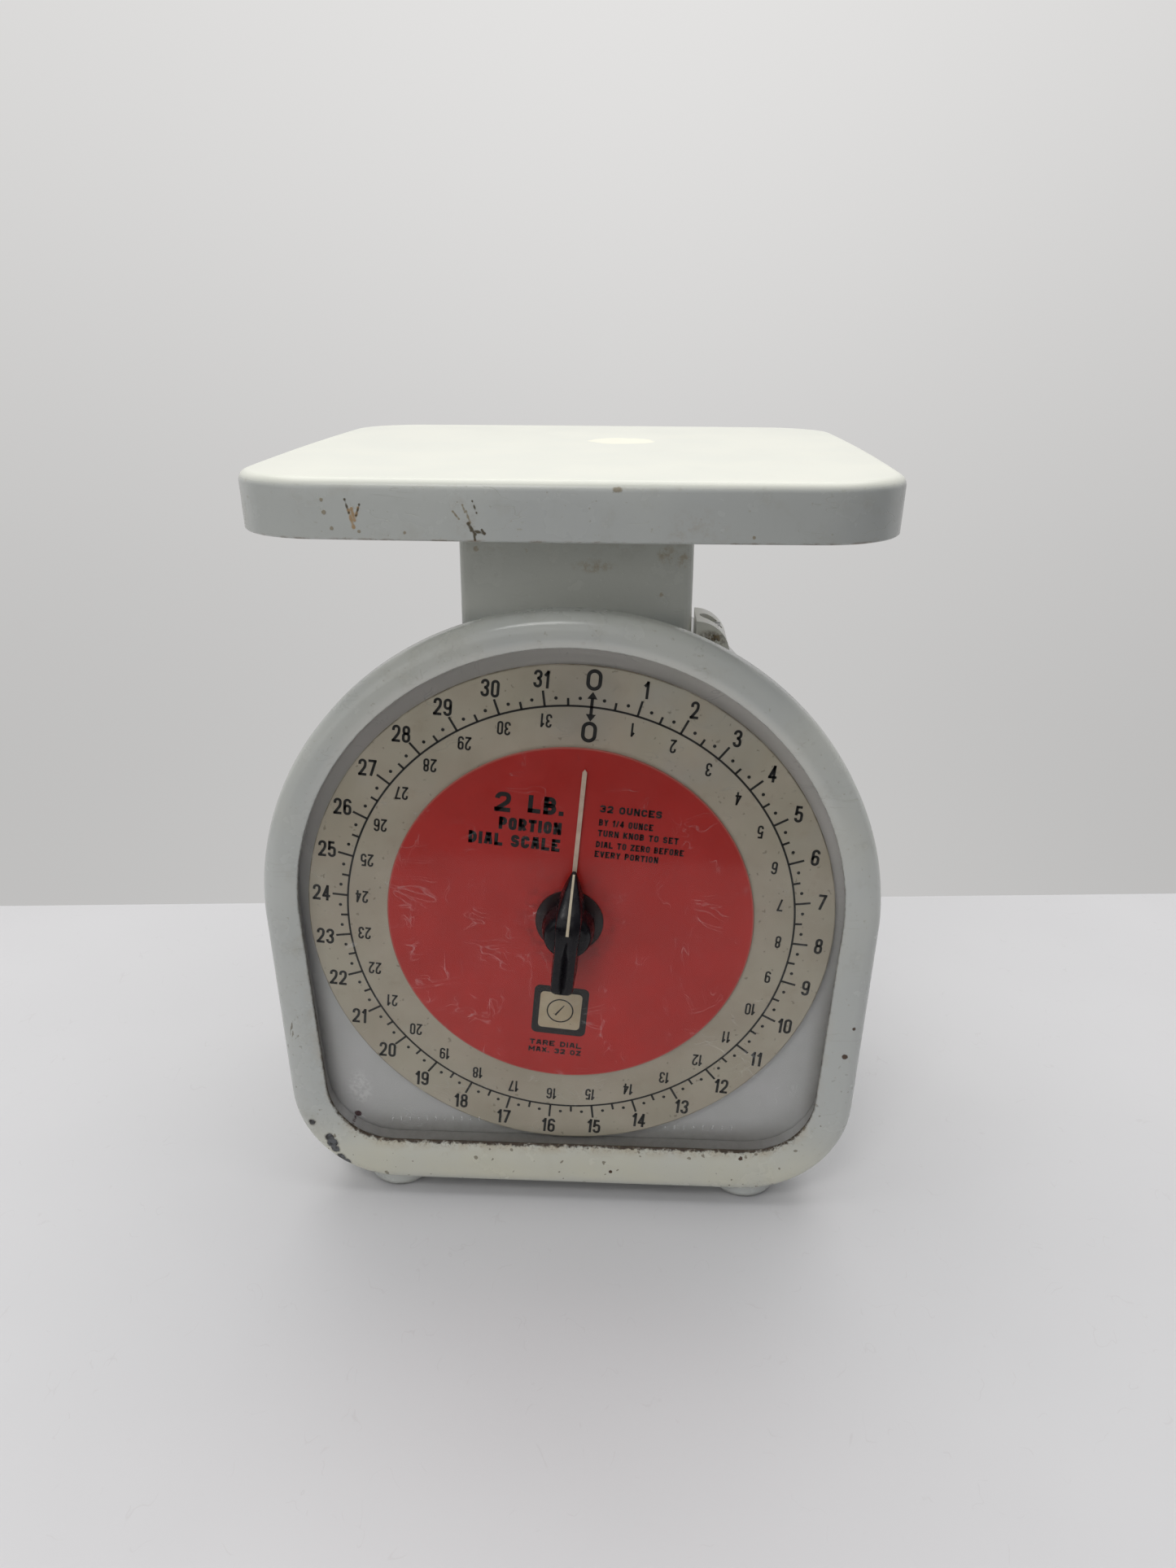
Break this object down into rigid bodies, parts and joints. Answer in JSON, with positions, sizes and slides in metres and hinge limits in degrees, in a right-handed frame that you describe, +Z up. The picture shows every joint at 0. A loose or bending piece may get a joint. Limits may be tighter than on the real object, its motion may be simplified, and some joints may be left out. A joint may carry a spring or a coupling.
{
  "type": "mechanical dial portion scale",
  "caption": "Mechanical dial portion scale: square platform on a square column over a round-topped casing with a large dial, load pointer, tare dial and knob.",
  "frame": {"origin": "on the surface the feet stand on, straight below the middle of the platform", "axes": "+Z up, along the load's travel; the dial faces -Y; +X is to the right as the dial is read"},
  "size_m": [0.1534, 0.148, 0.1935],
  "materials": {
    "body_enamel": "semi-gloss pale blue-grey enamel, yellowed, with chips and rust stains",
    "platform_enamel": "semi-gloss ivory enamel",
    "feet_plastic": "satin pale moulded plastic",
    "silver_plate": "satin silver-grey",
    "clear_lens": "clear moulded acrylic, slightly scratched",
    "dial_plastic": "clear plastic yellowed with age",
    "red_dial": "deep red print",
    "black_plastic": "glossy black moulded plastic",
    "white_needle": "off-white paint",
    "red_pointer": "red paint",
    "steel": "zinc-plated sheet and pins",
    "spring_steel": "oiled spring wire",
    "brass": "plain"
  },
  "bodies": {
    "base": {"housing_shell": "body_enamel", "front_bezel": "body_enamel", "lens": "clear_lens", "lens_spacer": "body_enamel", "face_plate": "silver_plate", "base_plate": "steel", "foot_front_left": "feet_plastic", "foot_front_right": "feet_plastic", "foot_rear_left": "feet_plastic", "foot_rear_right": "feet_plastic", "foot_screw_front_left": "steel", "foot_screw_front_right": "steel", "foot_screw_rear_left": "steel", "foot_screw_rear_right": "steel", "main_frame": "steel", "frame_screw_left": "steel", "frame_screw_right": "steel", "gear_bridge": "steel", "bridge_screw_left": "steel", "bridge_screw_right": "steel", "front_bush": "brass", "rear_bush": "brass", "lower_frame_pin": "steel", "upper_frame_pin": "steel", "spring_crossbar": "steel", "zero_guide": "steel", "main_spring_left": "spring_steel", "main_spring_right": "spring_steel", "zero_spring": "spring_steel"},
    "load_carrier": {"platform": "platform_enamel", "column": "body_enamel", "carriage": "steel", "platform_screw_front_left": "steel", "platform_screw_front_right": "steel", "platform_screw_rear_left": "steel", "platform_screw_rear_right": "steel", "rack": "brass", "rack_screw": "steel", "lower_carriage_pin": "steel", "upper_carriage_pin": "steel"},
    "upper_check_link": {"upper_link": "steel"},
    "lower_check_link": {"lower_link": "steel"},
    "pointer": {"pointer_arbor": "steel", "load_pointer": "red_pointer"},
    "tare_dial": {"tare_knob": "black_plastic", "tare_spindle": "black_plastic", "tare_hub": "black_plastic", "tare_needle": "white_needle", "red_disc": "red_dial", "number_dial": "dial_plastic", "dial_clip": "spring_steel"},
    "zero_adjuster": {"zero_screw": "steel"},
    "zero_carrier": {"zero_nut": "brass"}
  },
  "joints": [
    {"name": "load_slide", "type": "slide", "parent": "base", "child": "load_carrier", "axis": [0, 0, -1], "range_m": [0, 0.01257], "stiffness_N_per_m": 708, "springref_m": -0.0112, "deforming": ["main_spring_left", "main_spring_right", "zero_spring"]},
    {"name": "pointer_turn", "type": "hinge", "parent": "base", "child": "pointer", "pos_m": [0, -0.037, 0.084], "axis": [0, 1, 0], "range_deg": [-20, 400]},
    {"name": "upper_link_swing", "type": "hinge", "parent": "base", "child": "upper_check_link", "pos_m": [0, 0.034, 0.1], "axis": [1, 0, 0], "range_deg": [-0.5, 16.5]},
    {"name": "lower_link_swing", "type": "hinge", "parent": "base", "child": "lower_check_link", "pos_m": [0, 0.034, 0.044], "axis": [1, 0, 0], "range_deg": [-0.5, 16.5]},
    {"name": "tare_turn", "type": "hinge", "parent": "base", "child": "tare_dial", "pos_m": [0, -0.057, 0.084], "axis": [0, 1, 0], "continuous": true},
    {"name": "zero_turn", "type": "hinge", "parent": "base", "child": "zero_adjuster", "pos_m": [0.0342, -0.021, 0.15], "axis": [0, 0, 1], "range_deg": [-400, 400]},
    {"name": "zero_travel", "type": "slide", "parent": "base", "child": "zero_carrier", "axis": [0, 0, 1], "range_m": [-0.0005, 0.0005]}
  ],
  "couplings": [
    {"joint": "pointer_turn", "follows": "load_slide", "rad_per_m": 500},
    {"joint": "upper_link_swing", "follows": "load_slide", "rad_per_m": 21.808},
    {"joint": "lower_link_swing", "follows": "load_slide", "rad_per_m": 21.808},
    {"joint": "zero_turn", "follows": "zero_travel", "rad_per_m": -12566}
  ]
}
